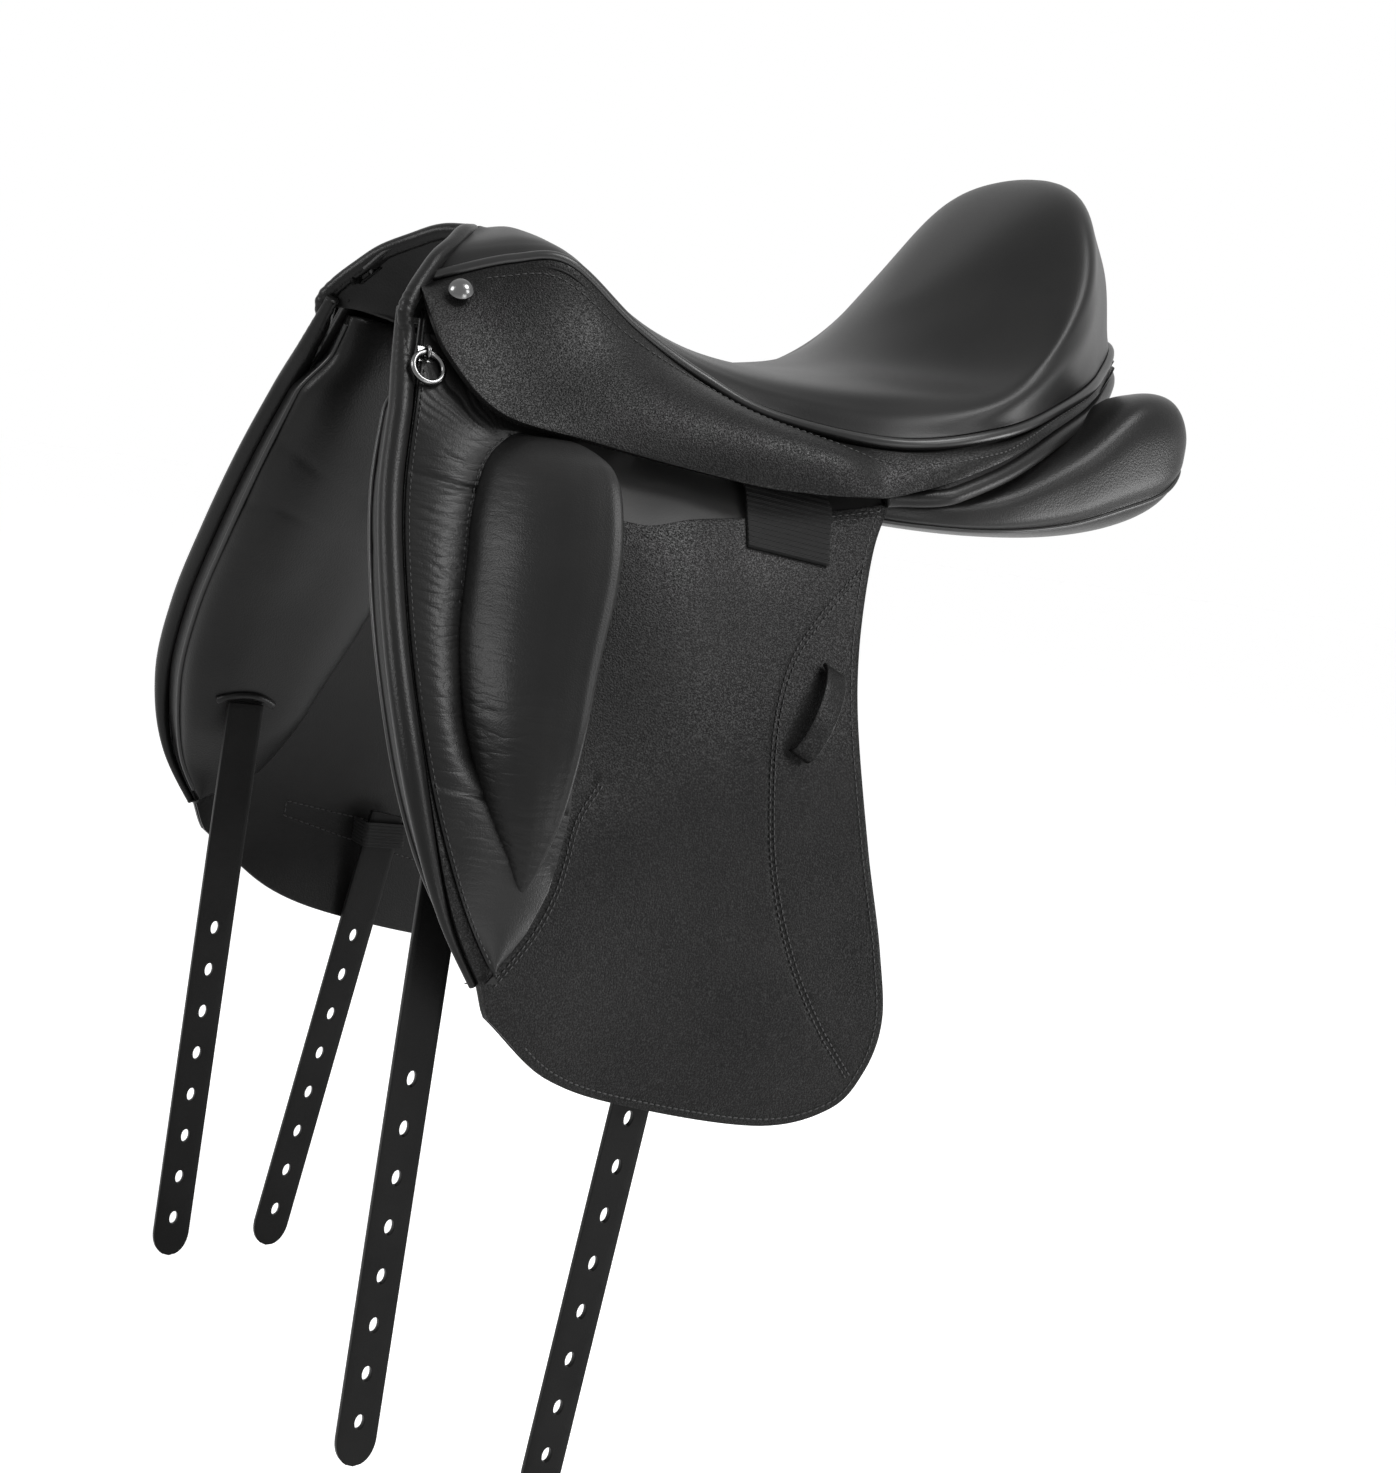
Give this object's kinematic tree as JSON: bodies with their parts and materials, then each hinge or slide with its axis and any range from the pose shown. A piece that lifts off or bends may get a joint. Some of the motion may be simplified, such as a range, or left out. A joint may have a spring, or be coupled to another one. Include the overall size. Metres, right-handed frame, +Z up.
{
  "type": "dressage saddle",
  "caption": "Black dressage saddle with a deep seat, long straight flaps, short knee rolls, stirrup bars under lifting skirts and long girth billets.",
  "frame": {"origin": "on the centre plane, on the horse's back line under the deepest point of the seat, level with the bearing faces of the panels", "axes": "+X towards the cantle, +Y towards the off side, +Z up"},
  "size_m": [0.4924, 0.4408, 0.7023],
  "materials": {
    "leather": "black grained calf leather",
    "soft_leather": "soft black panel leather",
    "webbing": "ribbed black nylon web",
    "steel": "nickel plated steel",
    "foam": "closed foam and felt",
    "tree": "moulded polymer"
  },
  "bodies": {
    "saddle": {"tree": "tree", "gullet_plate": "steel", "gullet_screws": "steel", "seat_webs": "webbing", "seat_foam": "foam", "seat_centre": "leather", "seat_facing": "leather", "seat_welt": "leather", "head_welt": "leather", "head_lining": "soft_leather", "rear_binding": "leather", "bar_rivets": "steel", "near_skirt": "leather", "off_skirt": "leather", "near_stud": "steel", "off_stud": "steel", "near_ring_staple": "steel", "off_ring_staple": "steel", "near_stirrup_bar": "steel", "off_stirrup_bar": "steel", "near_catch_pin": "steel", "off_catch_pin": "steel", "near_bar_lining": "soft_leather", "off_bar_lining": "soft_leather", "near_flap": "leather", "off_flap": "leather", "near_flap_roll": "leather", "off_flap_roll": "leather", "near_knee_roll": "soft_leather", "off_knee_roll": "soft_leather", "near_gathered_strip": "soft_leather", "off_gathered_strip": "soft_leather", "near_leather_keeper": "leather", "off_leather_keeper": "leather", "near_girth_web": "webbing", "off_girth_web": "webbing", "near_front_panel": "soft_leather", "off_front_panel": "soft_leather", "near_rear_panel": "soft_leather", "off_rear_panel": "soft_leather", "near_sweat_flap": "soft_leather", "off_sweat_flap": "soft_leather", "near_billet_keeper": "webbing", "off_billet_keeper": "webbing"},
    "near_skirt_lobe": {"near_skirt_lobe": "leather"},
    "near_bar_catch": {"near_bar_catch": "steel"},
    "near_dee_ring": {"near_dee_ring": "steel"},
    "near_front_billet": {"near_front_billet": "leather"},
    "near_rear_billet": {"near_rear_billet": "leather"},
    "off_skirt_lobe": {"off_skirt_lobe": "leather"},
    "off_bar_catch": {"off_bar_catch": "steel"},
    "off_dee_ring": {"off_dee_ring": "steel"},
    "off_front_billet": {"off_front_billet": "leather"},
    "off_rear_billet": {"off_rear_billet": "leather"}
  },
  "joints": [
    {"name": "near_skirt_lift", "type": "hinge", "parent": "saddle", "child": "near_skirt_lobe", "pos_m": [-0.228, -0.061, 0.062], "axis": [-0.9399, 0.2973, 0.1679], "range_deg": [0, 50]},
    {"name": "near_catch_turn", "type": "hinge", "parent": "saddle", "child": "near_bar_catch", "pos_m": [-0.05384, -0.11385, 0.01113], "axis": [-0.1219, -0.7603, 0.638], "range_deg": [0, 70]},
    {"name": "near_ring_swing", "type": "hinge", "parent": "saddle", "child": "near_dee_ring", "pos_m": [-0.2275, -0.07214, 0.03706], "axis": [-1, 0, 0], "range_deg": [0, 30]},
    {"name": "near_front_billet_swing", "type": "hinge", "parent": "saddle", "child": "near_front_billet", "pos_m": [-0.213, -0.148, -0.176], "axis": [1, 0, 0], "range_deg": [0, 20]},
    {"name": "near_rear_billet_swing", "type": "hinge", "parent": "saddle", "child": "near_rear_billet", "pos_m": [-0.102, -0.18, -0.2525], "axis": [1, 0, 0], "range_deg": [0, 20]},
    {"name": "off_skirt_lift", "type": "hinge", "parent": "saddle", "child": "off_skirt_lobe", "pos_m": [-0.228, 0.061, 0.062], "axis": [0.9399, 0.2973, -0.1679], "range_deg": [0, 50]},
    {"name": "off_catch_turn", "type": "hinge", "parent": "saddle", "child": "off_bar_catch", "pos_m": [-0.05384, 0.11385, 0.01113], "axis": [0.1219, -0.7603, -0.638], "range_deg": [0, 70]},
    {"name": "off_ring_swing", "type": "hinge", "parent": "saddle", "child": "off_dee_ring", "pos_m": [-0.2275, 0.07214, 0.03706], "axis": [1, 0, 0], "range_deg": [0, 30]},
    {"name": "off_front_billet_swing", "type": "hinge", "parent": "saddle", "child": "off_front_billet", "pos_m": [-0.213, 0.148, -0.176], "axis": [-1, 0, 0], "range_deg": [0, 20]},
    {"name": "off_rear_billet_swing", "type": "hinge", "parent": "saddle", "child": "off_rear_billet", "pos_m": [-0.102, 0.18, -0.2525], "axis": [-1, 0, 0], "range_deg": [0, 20]}
  ]
}
